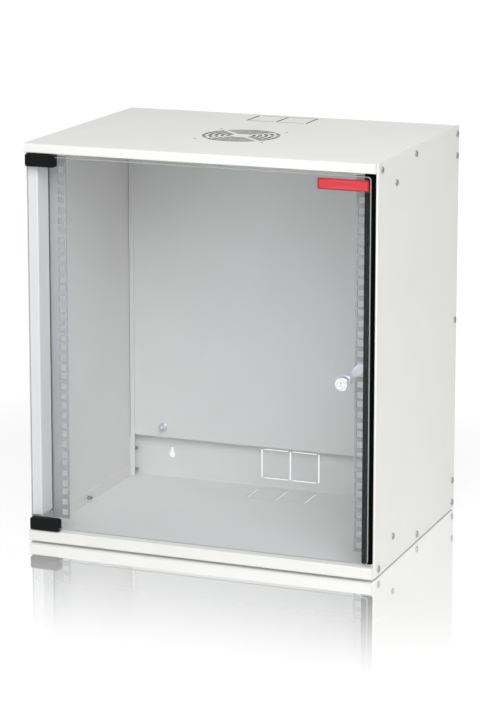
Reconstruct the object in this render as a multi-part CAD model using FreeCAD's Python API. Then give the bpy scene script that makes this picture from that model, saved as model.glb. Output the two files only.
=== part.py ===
import FreeCAD, Part
import math
import os

from FreeCAD import Vector

# Wall mount network cabinet for 19 inch equipment, 12 units high.
# Frame: X to the right, Y from the door to the wall, Z up. The origin is the
# middle of the base. All sizes are in millimetres.

# ---------------------------------------------------------------- case
width = 540.0              # over the outside faces of the side panels
depth = 400.0              # front lips to the rear face
rack_units = 12
unit_height = 44.45
floor_space = 28.3         # from the base to the lowest unit
roof_space = 38.3          # from the highest unit to the top
sheet = 1.2                # folded steel of the case
bend = 1.0                 # inside radius of a fold
lip_bend = 2.4             # inside radius of the rounded front edges
roof_lip = 14.0            # height of the roof's front edge
floor_lip = 18.0           # height of the floor's front edge
lip_depth = 18.0           # the edge's return, front to back
pan_flange = 20.0          # the pans' side flanges
wall_strip = 76.0          # the pans' rear flanges, which hang on the wall
panel_edge = 69.0          # the rear panel, from the base and from the top
panel_gap = 1.5            # from the pans' side flanges to the rear panel
panel_depth = 16.0         # the rear panel's face in front of the wall strips

height = rack_units * unit_height + floor_space + roof_space
front = -depth / 2
rear = depth / 2
inner_x = width / 2 - sheet

# ---------------------------------------------------------------- side panels
post_setback = 10.0        # front flange behind the front lips
post_face = 19.0           # width of the front flange
post_return = 10.0         # its fold towards the rear, on the closing side
hinge_post_return = 36.0   # the same on the hinge side, almost to the rail
post_clearance = 0.5       # from the flange to each lip
post_front = front + post_setback
post_inner_x = width / 2 - post_face

# ---------------------------------------------------------------- rack rails
rack_opening = 450.0       # clear width between the rails
rack_hole_spacing = 465.1
rack_hole = 9.5            # square holes for cage nuts
first_hole = 6.35          # from a unit's lower end to its first hole
hole_steps = (0.0, 15.875, 31.75)
rail_sheet = 2.0
rail_setback = 50.0
rail_face = 28.0
rail_leg = 30.0
rail_tab = 34.0
rail_end_gap = 25.0        # from a rail's end to the base or the top
rail_front = front + rail_setback

# ---------------------------------------------------------------- openings
grille_outer_radius = 58.0
grille_slot = 5.2
grille_bar = 3.8
grille_rings = 5
grille_rib = 6.0
grille_offset = -18.0      # grille centre in front of the roof's centre
fan_hole_spacing = 105.0
fan_hole_radius = 2.25
knockout_width = 48.0
knockout_depth = 54.0      # in the roof and the floor
knockout_height = 47.0     # in the wall strips
knockout_edge = 15.0       # from the rear face
knockout_strip_edge = 14.0 # from the strip's free edge
knockout_slit = 3.0        # the slits along the depth or the height
knockout_cross_slit = 2.0  # the slits along X
knockout_tie = 3.5         # from a slit's middle to the next slit's end
keyhole_x = 203.0
keyhole_level = 38.0       # round part, from the top or the base
keyhole_radius = 5.0
keyhole_neck = 5.2
keyhole_length = 17.0

# ---------------------------------------------------------------- screws
screw_radius = 2.5
screw_length = 10.0
screw_head_radius = 5.0
screw_head_height = 2.0
screw_clearance = 0.05     # in a threaded hole
hole_clearance = 0.4       # in a plain hole
roof_screw_level = 12.0
floor_screw_level = 10.0
corner_screw_level = 45.0
edge_screw_depth = 28.0
roof_middle_screw_depth = 185.0
floor_middle_screw_depth = 210.0
rear_screw_inset = 9.0
rail_screw_level = 40.0
rail_screw_depth = 94.0

# ---------------------------------------------------------------- door
glass_thickness = 4.0
glass_setback = 1.0
glass_left_margin = 6.0
glass_right_margin = 7.7
glass_corner = 5.0
glass_chamfer = 0.5
clamp_length = 47.0
clamp_height = 18.5
clamp_left_margin = 4.0
clamp_bridge = 2.6
clamp_front = 2.5
clamp_back = 3.0
clamp_corner = 3.0
clamp_chamfer = 0.8        # round the front face
clamp_liner = 1.0
clamp_end_gap = 0.6
clamp_screw_radius = 2.0
clamp_screw_stand = 0.6
clamp_screw_inset = 13.5   # from the clamp's ends
pivot_inset = 8.0          # from the case's left face
pivot_setback = 4.5        # behind the front lips
pin_radius = 2.0
pin_reach = 8.0            # above the lip's return
running = 0.05             # radial clearance of a turning fit
bush_wall = 0.75
bush_flange = 0.8
bush_flange_extra = 0.4
bush_reach = 4.0
door_lift = 0.2            # from the clamp to the bush
notch_margin = 2.0         # flange cut back beyond the clamp

# ---------------------------------------------------------------- seal
seal_width = 16.0
seal_gap = 0.3
seal_inset = 1.0
seal_bottom = 4.0          # above the floor's lip

# ---------------------------------------------------------------- lock
lock_edge = 40.3           # axis to the glass's free edge
lock_below_middle = 18.0
lock_body_radius = 8.0
lock_hole_clearance = 0.3
lock_head_radius = 9.6
lock_head_height = 3.5
lock_head_chamfer = 1.0
lock_gasket = 0.8
lock_washer = 1.0
lock_nut_height = 4.0
lock_nut_flats = 22.0
plug_radius = 5.2
plug_head_radius = 6.2
plug_head_height = 1.5
plug_recess = 0.4
key_slot_width = 1.6
key_slot_height = 7.0
key_slot_depth = 9.0
cam_thickness = 2.0
cam_hub_radius = 8.0
cam_width = 12.0
cam_reach = 36.0
cam_rest_angle = 45.0      # above the horizontal, half way through its turn
cam_clearance = 0.5        # behind the side panel's fold
tang = 6.4
cam_screw_radius = 2.0
cam_screw_length = 9.0
cam_screw_head_radius = 4.2
cam_screw_head_height = 2.2

# ---------------------------------------------------------------- earth stud
earth_x = -212.0
earth_level = 86.0
earth_radius = 3.0
earth_length = 12.0        # in front of the rear panel
earth_nut_flats = 10.0
earth_nut_height = 5.0
earth_washer_radius = 7.0
earth_washer = 1.6

# ---------------------------------------------------------------- derived places
glass_front = front + glass_setback
glass_back = glass_front + glass_thickness
glass_left = -width / 2 + glass_left_margin
glass_right = width / 2 - glass_right_margin
lip_underside = height - roof_lip
clamp_top = lip_underside - bush_flange - door_lift
glass_top = clamp_top - clamp_bridge - clamp_liner
glass_bottom = floor_lip + bush_flange + door_lift + clamp_bridge + clamp_liner
door_middle = (glass_top + glass_bottom) / 2
pivot_x = -width / 2 + pivot_inset
pivot_y = front + pivot_setback
lock_x = glass_right - lock_edge
lock_z = door_middle - lock_below_middle
cam_front = post_front + post_return + cam_clearance
strip_front = rear - sheet
panel_front = strip_front - panel_depth


def box(x0, x1, y0, y1, z0, z1):
    """A block between two corners."""
    return Part.makeBox(x1 - x0, y1 - y0, z1 - z0, Vector(x0, y0, z0))


def rod(radius, start, end):
    """A cylinder from one point to another."""
    run = end - start
    return Part.makeCylinder(radius, run.Length, start, run)


def mirror_x(shape):
    return shape.mirror(Vector(0, 0, 0), Vector(1, 0, 0))


def mirror_door(shape):
    """The same piece at the other end of the door."""
    return shape.mirror(Vector(0, 0, door_middle), Vector(0, 0, 1))


def cut_all(shape, tools):
    return shape.cut(Part.makeCompound(tools))


def edges_in_plane(shape, y):
    """The edges that lie in an upright plane across the depth."""
    return [edge for edge in shape.Edges
            if abs(edge.BoundBox.YMin - y) < 1e-6 and abs(edge.BoundBox.YMax - y) < 1e-6]


def left_normal(run):
    return Vector(-run.y, run.x, 0)


def rounded_line(corners, radii):
    """Straight edges through the corners, with an arc of the given radius at
    each inner corner. Returns the edges and the two end points."""
    edges = []
    start = corners[0]
    for before, corner, after, radius in zip(corners, corners[1:], corners[2:], radii):
        back = (before - corner).normalize()
        ahead = (after - corner).normalize()
        half = back.getAngle(ahead) / 2
        tangent = radius / math.tan(half)
        middle = (back + ahead).normalize() * (radius / math.sin(half) - radius)
        first = corner + back * tangent
        last = corner + ahead * tangent
        edges.append(Part.LineSegment(start, first).toShape())
        edges.append(Part.Arc(first, corner + middle, last).toShape())
        start = last
    edges.append(Part.LineSegment(start, corners[-1]).toShape())
    return edges


def folded_section(points, thickness, radii):
    """The cross-section of a folded sheet. The points are the sharp corners of
    its outer face, and the metal lies to the left of them. The radii are the
    inside radii of the folds."""
    outer = [Vector(u, v, 0) for u, v in points]
    runs = [(b - a).normalize() for a, b in zip(outer, outer[1:])]
    inner = [outer[0] + left_normal(runs[0]) * thickness]
    outer_radii = []
    inner_radii = []
    for corner, run, following, radius in zip(outer[1:], runs, runs[1:], radii):
        turn = run.x * following.y - run.y * following.x
        mitre = (left_normal(run) + left_normal(following)) * thickness
        inner.append(corner + mitre)
        outer_radii.append(radius + thickness if turn > 0 else radius)
        inner_radii.append(radius if turn > 0 else radius + thickness)
    inner.append(outer[-1] + left_normal(runs[-1]) * thickness)
    edges = rounded_line(outer, outer_radii)
    edges.append(Part.LineSegment(outer[-1], inner[-1]).toShape())
    edges += rounded_line(inner[::-1], inner_radii[::-1])
    edges.append(Part.LineSegment(inner[0], outer[0]).toShape())
    return Part.Face(Part.Wire(Part.__sortEdges__(edges)))


def upright_fold(points, thickness, radii, z0, z1):
    """A folded sheet whose folds stand upright; the points are X, Y."""
    face = folded_section(points, thickness, radii)
    face.translate(Vector(0, 0, z0))
    return face.extrude(Vector(0, 0, z1 - z0))


def level_fold(points, thickness, radii, x0, x1):
    """A folded sheet whose folds run along X; the points are Y, Z."""
    face = folded_section(points, thickness, radii)
    turn = FreeCAD.Placement(Vector(x0, 0, 0), FreeCAD.Rotation(Vector(1, 1, 1), 120))
    face.transformShape(turn.toMatrix(), True)
    return face.extrude(Vector(x1 - x0, 0, 0))


# ---------------------------------------------------------------- screw places

def roof_screw_places():
    """Y and Z of the screws through a side panel into the roof pan."""
    level = height - roof_screw_level
    return [
        (front + edge_screw_depth, level),
        (front + roof_middle_screw_depth, level),
        (rear - rear_screw_inset, level),
        (rear - rear_screw_inset, height - corner_screw_level),
    ]


def floor_screw_places():
    return [
        (front + edge_screw_depth, floor_screw_level),
        (front + floor_middle_screw_depth, floor_screw_level),
        (rear - rear_screw_inset, floor_screw_level),
        (rear - rear_screw_inset, corner_screw_level),
    ]


def rear_screw_places():
    return [(rear - rear_screw_inset, height / 2)]


def rail_screw_places():
    return [
        (front + rail_screw_depth, rail_screw_level),
        (front + rail_screw_depth, height - rail_screw_level),
    ]


def side_holes(places, radius):
    """Holes along X through everything at both sides."""
    reach = width / 2 + 1
    return [rod(radius, Vector(-reach, y, z), Vector(reach, y, z)) for y, z in places]


# ---------------------------------------------------------------- case panels

def knockout_slits(low, high):
    """The slits that outline two knock-outs side by side, as X ranges and
    ranges along the sheet. A tie of metal is left at every corner."""
    half = knockout_slit / 2
    cross_half = knockout_cross_slit / 2
    lines = (-knockout_width, 0.0, knockout_width)
    slits = [(x - half, x + half, low, high) for x in lines]
    for x0, x1 in zip(lines, lines[1:]):
        for edge in (low, high):
            slits.append((x0 + knockout_tie, x1 - knockout_tie,
                          edge - cross_half, edge + cross_half))
    return slits


def level_knockouts(z_low, z_high):
    """Knock-outs near the rear edge of the roof or the floor."""
    high = rear - knockout_edge
    return [box(x0, x1, y0, y1, z_low, z_high)
            for x0, x1, y0, y1 in knockout_slits(high - knockout_depth, high)]


def strip_knockouts(low):
    """Knock-outs in a wall strip, from the given height upwards."""
    return [box(x0, x1, rear - 2 * sheet, rear + 1, z0, z1)
            for x0, x1, z0, z1 in knockout_slits(low, low + knockout_height)]


def keyhole(x, z):
    """A round hole with a narrow neck above it, through a wall strip."""
    y0 = rear - 2 * sheet
    y1 = rear + 1
    neck_radius = keyhole_neck / 2
    neck_top = z + keyhole_length - keyhole_radius - neck_radius
    head = rod(keyhole_radius, Vector(x, y0, z), Vector(x, y1, z))
    neck = box(x - neck_radius, x + neck_radius, y0, y1, z, neck_top)
    end = rod(neck_radius, Vector(x, y0, neck_top), Vector(x, y1, neck_top))
    return head.fuse([neck, end])


def side_flanges(z_plate, z_flange, z_rear):
    """The pan's two side flanges: shallow along the depth, and deeper at the
    rear, where they meet the wall strip and end at the rear panel."""
    flanges = []
    tab_front = strip_front - pan_flange
    lip_rear = front + lip_depth
    for side in (-1, 1):
        x0, x1 = sorted((side * inner_x, side * (inner_x - sheet)))
        low, high = sorted((z_plate, z_flange))
        flanges.append(box(x0, x1, lip_rear, rear - sheet / 2, low, high))
        low, high = sorted((z_plate, z_rear))
        flanges.append(box(x0, x1, tab_front, rear - sheet / 2, low, high))
    return flanges


def lip_ends(z_low, z_high):
    """The plates that close the hollow front lip at both ends."""
    ends = []
    for side in (-1, 1):
        x0, x1 = sorted((side * inner_x, side * (inner_x - sheet)))
        ends.append(box(x0, x1, front + sheet / 2, front + lip_depth, z_low, z_high))
    return ends


def grille_slots(z_low, z_high):
    """Rings of slots for the fan, divided into four by diagonal ribs."""
    centre = Vector(0, grille_offset, z_low)
    rise = z_high - z_low
    rings = []
    for index in range(grille_rings):
        outer = grille_outer_radius - index * (grille_slot + grille_bar)
        ring = Part.makeCylinder(outer, rise, centre)
        rings.append(ring.cut(Part.makeCylinder(outer - grille_slot, rise, centre)))
    ribs = []
    for angle in (45, 135):
        reach = grille_outer_radius + 1
        rib = box(-reach, reach, -grille_rib / 2, grille_rib / 2, -1, rise + 1)
        rib.rotate(Vector(0, 0, 0), Vector(0, 0, 1), angle)
        rib.translate(centre)
        ribs.append(rib)
    slots = Part.makeCompound(rings).cut(ribs[0].fuse(ribs[1]))
    return slots.Solids


def fan_holes(z_low, z_high):
    half = fan_hole_spacing / 2
    holes = []
    for x in (-half, half):
        for y in (-half, half):
            start = Vector(x, grille_offset + y, z_low)
            holes.append(rod(fan_hole_radius, start, start + Vector(0, 0, z_high - z_low)))
    return holes


def bush_hole(z):
    """The hole for the hinge bush in a lip's return."""
    radius = pin_radius + running + bush_wall + screw_clearance
    return rod(radius, Vector(pivot_x, pivot_y, z - 2 * sheet), Vector(pivot_x, pivot_y, z + 2 * sheet))


def make_roof_pan():
    """Roof, hollow front lip, side flanges and upper wall strip in one sheet."""
    strip_edge = height - wall_strip
    outline = [
        (rear, strip_edge), (rear, height), (front, height),
        (front, lip_underside), (front + lip_depth, lip_underside),
    ]
    pan = level_fold(outline, sheet, (bend, lip_bend, bend), -inner_x, inner_x)
    plate = height - sheet / 2
    pan = pan.fuse(side_flanges(plate, height - pan_flange, height - panel_edge + panel_gap)
                   + lip_ends(lip_underside + sheet / 2, plate))
    pan = pan.removeSplitter()
    cuts = level_knockouts(height - 2 * sheet, height + 1)
    cuts += strip_knockouts(strip_edge + knockout_strip_edge)
    cuts += [keyhole(x, height - keyhole_level) for x in (-keyhole_x, keyhole_x)]
    cuts += grille_slots(height - 2 * sheet, height + 1)
    cuts += fan_holes(height - 2 * sheet, height + 1)
    cuts += side_holes(roof_screw_places(), screw_radius + screw_clearance)
    cuts.append(bush_hole(lip_underside))
    return cut_all(pan, cuts)


def make_floor_pan():
    """Floor, hollow front lip, side flanges and lower wall strip in one sheet."""
    outline = [
        (front + lip_depth, floor_lip), (front, floor_lip), (front, 0),
        (rear, 0), (rear, wall_strip),
    ]
    pan = level_fold(outline, sheet, (bend, lip_bend, bend), -inner_x, inner_x)
    plate = sheet / 2
    pan = pan.fuse(side_flanges(plate, pan_flange, panel_edge - panel_gap)
                   + lip_ends(plate, floor_lip - sheet / 2))
    pan = pan.removeSplitter()
    cuts = level_knockouts(-1, 2 * sheet)
    cuts += strip_knockouts(wall_strip - knockout_strip_edge - knockout_height)
    cuts += [keyhole(x, keyhole_level) for x in (-keyhole_x, keyhole_x)]
    cuts += side_holes(floor_screw_places(), screw_radius + screw_clearance)
    cuts.append(bush_hole(floor_lip))
    return cut_all(pan, cuts)


def make_side_panel(hinge_side):
    """A side panel with its front flange folded inwards and back. On the hinge
    side the flange is cut away where the clamps turn."""
    flange_rear = post_front + (hinge_post_return if hinge_side else post_return)
    outline = [
        (post_inner_x, flange_rear), (post_inner_x, post_front),
        (width / 2, post_front), (width / 2, rear),
    ]
    panel = upright_fold(outline, sheet, (bend, bend), 0, height)
    low = floor_lip + post_clearance
    high = lip_underside - post_clearance
    if hinge_side:
        low = 2 * door_middle - clamp_top + clamp_height + notch_margin
        high = clamp_top - clamp_height - notch_margin
    for z0, z1 in ((-1, low), (high, height + 1)):
        panel = panel.cut(box(0, inner_x, front, flange_rear + 1, z0, z1))
    places = roof_screw_places() + floor_screw_places() + rear_screw_places() + rail_screw_places()
    panel = cut_all(panel, side_holes(places, screw_radius + hole_clearance))
    return mirror_x(panel) if hinge_side else panel


def make_rear_panel():
    """A shallow tray whose face stands in front of the wall strips. Its four
    sides are folded to the rear, and the level ones end on the strips."""
    low = panel_edge
    high = height - panel_edge
    outline = [
        (strip_front, high), (panel_front, high), (panel_front, low), (strip_front, low),
    ]
    panel = level_fold(outline, sheet, (bend, bend), -inner_x, inner_x)
    sides = []
    for side in (-1, 1):
        x0, x1 = sorted((side * inner_x, side * (inner_x - sheet)))
        sides.append(box(x0, x1, panel_front + sheet / 2, strip_front,
                         low + sheet / 2, high - sheet / 2))
    panel = panel.fuse(sides).removeSplitter()
    stud = rod(earth_radius, Vector(earth_x, panel_front - 1, earth_level),
               Vector(earth_x, panel_front + 2 * sheet, earth_level))
    cuts = side_holes(rear_screw_places(), screw_radius + screw_clearance) + [stud]
    return cut_all(panel, cuts)


# ---------------------------------------------------------------- rack rails

def rack_hole_levels():
    """Heights of the rail holes: three in each unit."""
    return [floor_space + unit * unit_height + first_hole + step
            for unit in range(rack_units) for step in hole_steps]


def make_rack_rail():
    """The right rail: a face with square holes, a leg, and a tab that lies
    against the side panel."""
    outer = rack_opening / 2 + rail_face
    leg_rear = rail_front + rail_leg
    outline = [
        (rack_opening / 2, rail_front), (outer, rail_front), (outer, leg_rear),
        (inner_x, leg_rear), (inner_x, leg_rear + rail_tab),
    ]
    rail = upright_fold(outline, rail_sheet, (bend, bend, bend), rail_end_gap, height - rail_end_gap)
    half = rack_hole / 2
    x = rack_hole_spacing / 2
    cuts = [box(x - half, x + half, rail_front - 1, rail_front + rail_sheet + 1, z - half, z + half)
            for z in rack_hole_levels()]
    cuts += side_holes(rail_screw_places(), screw_radius + screw_clearance)
    return cut_all(rail, cuts)


# ---------------------------------------------------------------- screws

def make_side_screw(y, z):
    """A low domed screw into the right side, along X."""
    face = width / 2
    dome = Part.makeCone(screw_head_radius, screw_head_radius * 0.62, screw_head_height,
                         Vector(face, y, z), Vector(1, 0, 0))
    shank = rod(screw_radius, Vector(face - screw_length, y, z), Vector(face, y, z))
    return dome.fuse(shank)


def make_side_screws(places):
    return Part.makeCompound([make_side_screw(y, z) for y, z in places])


def make_rail_screws():
    right = make_side_screws(rail_screw_places())
    return Part.makeCompound(right.Solids + mirror_x(right).Solids)


def hexagon(flats, thickness, centre):
    """A hexagonal block whose axis runs along Y, from the centre backwards."""
    corner = flats / math.sqrt(3)
    points = []
    for index in range(7):
        angle = math.radians(60 * index)
        points.append(centre + Vector(corner * math.cos(angle), 0, corner * math.sin(angle)))
    return Part.Face(Part.makePolygon(points)).extrude(Vector(0, thickness, 0))


def make_earth_stud():
    return rod(earth_radius, Vector(earth_x, panel_front + sheet, earth_level),
               Vector(earth_x, panel_front - earth_length, earth_level))


def make_earth_nut():
    """A nut with a washer face, against the rear panel."""
    face = Vector(earth_x, panel_front, earth_level)
    washer_front = face - Vector(0, earth_washer, 0)
    nut_front = washer_front - Vector(0, earth_nut_height, 0)
    nut = hexagon(earth_nut_flats, earth_nut_height, nut_front)
    nut = nut.fuse(rod(earth_washer_radius, washer_front, face))
    bore = rod(earth_radius + screw_clearance, nut_front - Vector(0, 1, 0), face + Vector(0, 1, 0))
    return nut.cut(bore)


# ---------------------------------------------------------------- hinge

def rounded_block(x0, x1, y0, y1, z0, z1, radius):
    """A block whose four edges along Y are rounded."""
    block = box(x0, x1, y0, y1, z0, z1)
    edges = [edge for edge in block.Edges
             if abs(edge.tangentAt(edge.FirstParameter).y) > 0.99]
    return block.makeFillet(radius, edges)


def make_upper_clamp():
    """The clamp that grips the glass's upper corner and carries the pin."""
    x0 = -width / 2 + clamp_left_margin
    x1 = x0 + clamp_length
    y0 = glass_front - clamp_liner - clamp_front
    y1 = glass_back + clamp_liner + clamp_back
    clamp = rounded_block(x0, x1, y0, y1, clamp_top - clamp_height, clamp_top, clamp_corner)
    clamp = clamp.makeChamfer(clamp_chamfer, edges_in_plane(clamp, y0))
    slot = box(glass_left - clamp_end_gap, x1 + 1, glass_front - clamp_liner,
               glass_back + clamp_liner, clamp_top - clamp_height - 1, glass_top + clamp_liner)
    pin_hole = rod(pin_radius, Vector(pivot_x, pivot_y, glass_top), Vector(pivot_x, pivot_y, clamp_top + 1))
    cuts = [slot, pin_hole]
    for x in clamp_screw_places():
        z = clamp_screw_level()
        cuts.append(rod(clamp_screw_radius + screw_clearance,
                        Vector(x, glass_back, z), Vector(x, y1 + 1, z)))
    return cut_all(clamp, cuts)


def clamp_screw_places():
    x0 = -width / 2 + clamp_left_margin
    return [x0 + clamp_screw_inset, x0 + clamp_length - clamp_screw_inset]


def clamp_screw_level():
    return clamp_top - clamp_height / 2 - clamp_bridge / 2


def make_upper_liner():
    """The soft channel between the clamp and the glass."""
    x0 = glass_left
    x1 = -width / 2 + clamp_left_margin + clamp_length - clamp_end_gap
    low = clamp_top - clamp_height + clamp_end_gap
    outer = box(x0, x1, glass_front - clamp_liner, glass_back + clamp_liner,
                low, glass_top + clamp_liner)
    return outer.cut(box(x0 - 1, x1 + 1, glass_front, glass_back, low - 1, glass_top))


def make_upper_pin():
    """The pin that is pressed into the clamp and turns in the bush."""
    start = Vector(pivot_x, pivot_y, glass_top + clamp_liner)
    end = Vector(pivot_x, pivot_y, lip_underside + pin_reach)
    pin = rod(pin_radius, start, end)
    tip = [edge for edge in pin.Edges if abs(edge.CenterOfMass.z - end.z) < 1e-6]
    return pin.makeChamfer(pin_radius / 4, tip)


def make_upper_bush():
    """A flanged plastic bush in the roof lip's return."""
    bore = pin_radius + running
    outer = bore + bush_wall
    low = Vector(pivot_x, pivot_y, lip_underside - bush_flange)
    seat = Vector(pivot_x, pivot_y, lip_underside)
    top = Vector(pivot_x, pivot_y, lip_underside + sheet + bush_reach)
    bush = rod(outer + bush_flange_extra, low, seat).fuse(rod(outer, low, top))
    return bush.cut(rod(bore, low - Vector(0, 0, 1), top + Vector(0, 0, 1)))


def make_clamp_screws():
    """Grub screws through the clamps' back plates, against the liners."""
    z = clamp_screw_level()
    start = glass_back + clamp_liner
    end = start + clamp_back + clamp_screw_stand
    upper = [rod(clamp_screw_radius, Vector(x, start, z), Vector(x, end, z))
             for x in clamp_screw_places()]
    return Part.makeCompound(upper + [mirror_door(screw) for screw in upper])


# ---------------------------------------------------------------- glass and seal

def make_door_glass():
    """The toughened glass, with polished edges and a hole for the lock."""
    glass = rounded_block(glass_left, glass_right, glass_front, glass_back,
                          glass_bottom, glass_top, glass_corner)
    rim = edges_in_plane(glass, glass_front) + edges_in_plane(glass, glass_back)
    glass = glass.makeChamfer(glass_chamfer, rim)
    hole = rod(lock_body_radius + lock_hole_clearance, Vector(lock_x, glass_front - 1, lock_z),
               Vector(lock_x, glass_back + 1, lock_z))
    return glass.cut(hole)


def make_door_seal():
    """The soft strip on the closing side's flange."""
    x1 = inner_x - seal_inset
    low = floor_lip + seal_bottom
    return box(x1 - seal_width, x1, glass_back + seal_gap, post_front, low, lip_underside - post_clearance)


# ---------------------------------------------------------------- lock

def lock_point(y):
    return Vector(lock_x, y, lock_z)


def lock_rod(radius, y0, y1):
    return rod(radius, lock_point(y0), lock_point(y1))


head_back = glass_front - lock_gasket
head_front = head_back - lock_head_height
housing_rear = cam_front - 0.3
nut_front = glass_back + lock_washer
plug_front = head_front + plug_recess


def make_lock_housing():
    """Round head and threaded barrel, bored for the plug."""
    head = lock_rod(lock_head_radius, head_front, head_back)
    head = head.makeChamfer(lock_head_chamfer, edges_in_plane(head, head_front))
    barrel = lock_rod(lock_body_radius, head_back, housing_rear)
    housing = head.fuse(barrel)
    bore = lock_rod(plug_radius + running, head_front - 1, housing_rear + 1)
    counterbore = lock_rod(plug_head_radius + running, head_front - 1,
                           plug_front + plug_head_height + running)
    return housing.cut(bore.fuse(counterbore))


def make_lock_ring(outer, y0, y1):
    """A flat ring on the barrel."""
    hole = lock_rod(lock_body_radius + running, y0 - 1, y1 + 1)
    return lock_rod(outer, y0, y1).cut(hole)


def make_lock_nut():
    nut = hexagon(lock_nut_flats, lock_nut_height, lock_point(nut_front))
    return nut.cut(lock_rod(lock_body_radius + running, nut_front - 1,
                            nut_front + lock_nut_height + 1))


def tang_block(size, y0, y1):
    """A square block on the lock's axis, turned with the cam."""
    half = size / 2
    block = box(lock_x - half, lock_x + half, y0, y1, lock_z - half, lock_z + half)
    block.rotate(lock_point(y0), Vector(0, -1, 0), cam_rest_angle)
    return block


def make_lock_plug():
    """The turning plug, with its key slot and the square end for the cam."""
    plug = lock_rod(plug_head_radius, plug_front, plug_front + plug_head_height)
    plug = plug.fuse(lock_rod(plug_radius, plug_front, cam_front))
    plug = plug.fuse(tang_block(tang, cam_front - 1, cam_front + cam_thickness))
    half_width = key_slot_width / 2
    half_height = key_slot_height / 2
    slot = box(lock_x - half_width, lock_x + half_width, plug_front - 1,
               plug_front + key_slot_depth, lock_z - half_height, lock_z + half_height)
    rear_end = cam_front + cam_thickness
    thread = lock_rod(cam_screw_radius + screw_clearance, rear_end - cam_screw_length - 1, rear_end + 1)
    return plug.cut(slot.fuse(thread))


def make_lock_cam():
    """The flat blade that turns behind the side panel's fold."""
    hub = lock_rod(cam_hub_radius, cam_front, cam_front + cam_thickness)
    tip_radius = cam_width / 2
    tip_x = lock_x + cam_reach - tip_radius
    tip = rod(tip_radius, Vector(tip_x, cam_front, lock_z),
              Vector(tip_x, cam_front + cam_thickness, lock_z))
    blade = box(lock_x, tip_x, cam_front, cam_front + cam_thickness,
                lock_z - tip_radius, lock_z + tip_radius)
    cam = hub.fuse([blade, tip]).removeSplitter()
    cam.rotate(lock_point(cam_front), Vector(0, -1, 0), cam_rest_angle)
    return cam.cut(tang_block(tang + 2 * running, cam_front - 1, cam_front + cam_thickness + 1))


def make_cam_screw():
    seat = cam_front + cam_thickness
    head = lock_rod(cam_screw_head_radius, seat, seat + cam_screw_head_height)
    return head.fuse(lock_rod(cam_screw_radius, seat - cam_screw_length, seat))


# ---------------------------------------------------------------- the assembly

def make_all():
    """Every piece by its node name."""
    rail = make_rack_rail()
    panel_places = roof_screw_places() + floor_screw_places() + rear_screw_places()
    panel_screws = make_side_screws(panel_places)
    clamp = make_upper_clamp()
    liner = make_upper_liner()
    pin = make_upper_pin()
    bush = make_upper_bush()
    return {
        "roof_pan": make_roof_pan(),
        "floor_pan": make_floor_pan(),
        "left_side_panel": make_side_panel(True),
        "right_side_panel": make_side_panel(False),
        "rear_panel": make_rear_panel(),
        "left_rack_rail": mirror_x(rail),
        "right_rack_rail": rail,
        "left_panel_screws": mirror_x(panel_screws),
        "right_panel_screws": panel_screws,
        "rail_screws": make_rail_screws(),
        "upper_hinge_bush": bush,
        "lower_hinge_bush": mirror_door(bush),
        "door_seal": make_door_seal(),
        "earth_stud": make_earth_stud(),
        "earth_nut": make_earth_nut(),
        "door_glass": make_door_glass(),
        "upper_hinge_clamp": clamp,
        "lower_hinge_clamp": mirror_door(clamp),
        "upper_clamp_liner": liner,
        "lower_clamp_liner": mirror_door(liner),
        "upper_hinge_pin": pin,
        "lower_hinge_pin": mirror_door(pin),
        "clamp_screws": make_clamp_screws(),
        "lock_housing": make_lock_housing(),
        "lock_gasket": make_lock_ring(lock_head_radius - 0.4, head_back, glass_front),
        "lock_washer": make_lock_ring(lock_nut_flats / 2 + 1.5, glass_back, nut_front),
        "lock_nut": make_lock_nut(),
        "lock_plug": make_lock_plug(),
        "lock_cam": make_lock_cam(),
        "cam_screw": make_cam_screw(),
    }


os.makedirs("parts", exist_ok=True)
for name, shape in make_all().items():
    shape.exportStep("parts/" + name + ".step")
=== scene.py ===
"""The looks of the wall mount network cabinet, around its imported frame."""

import math

import bpy
import numpy as np
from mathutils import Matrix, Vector


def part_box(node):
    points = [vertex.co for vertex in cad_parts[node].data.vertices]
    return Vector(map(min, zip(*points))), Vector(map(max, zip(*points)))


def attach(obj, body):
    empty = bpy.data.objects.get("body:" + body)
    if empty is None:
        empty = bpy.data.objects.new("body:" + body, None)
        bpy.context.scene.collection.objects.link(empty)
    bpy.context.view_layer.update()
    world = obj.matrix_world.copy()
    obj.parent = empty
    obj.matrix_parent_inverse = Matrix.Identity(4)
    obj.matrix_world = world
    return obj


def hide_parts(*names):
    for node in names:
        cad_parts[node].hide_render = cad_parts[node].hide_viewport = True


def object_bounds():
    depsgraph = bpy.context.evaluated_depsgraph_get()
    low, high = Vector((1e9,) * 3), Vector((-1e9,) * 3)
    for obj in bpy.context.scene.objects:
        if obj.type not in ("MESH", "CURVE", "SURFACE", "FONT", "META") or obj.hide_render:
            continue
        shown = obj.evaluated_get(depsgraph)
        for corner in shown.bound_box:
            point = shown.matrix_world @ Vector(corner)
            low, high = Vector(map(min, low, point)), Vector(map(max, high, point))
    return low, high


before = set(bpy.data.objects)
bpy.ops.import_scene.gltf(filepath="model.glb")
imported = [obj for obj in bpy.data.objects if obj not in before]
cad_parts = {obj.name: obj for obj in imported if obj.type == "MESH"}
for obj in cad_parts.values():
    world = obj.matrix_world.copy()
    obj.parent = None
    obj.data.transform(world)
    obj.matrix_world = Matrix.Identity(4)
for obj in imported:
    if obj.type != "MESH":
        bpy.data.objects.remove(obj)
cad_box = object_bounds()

MM = 0.001

# The camera: a long lens to the right of the door, above the roof.
CAMERA_PLACE = (1.427, -3.704, 1.198)
CAMERA_TURN = 21.19
CAMERA_TILT = 10.81
LENS = 135.2
SHIFT = -0.167

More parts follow.
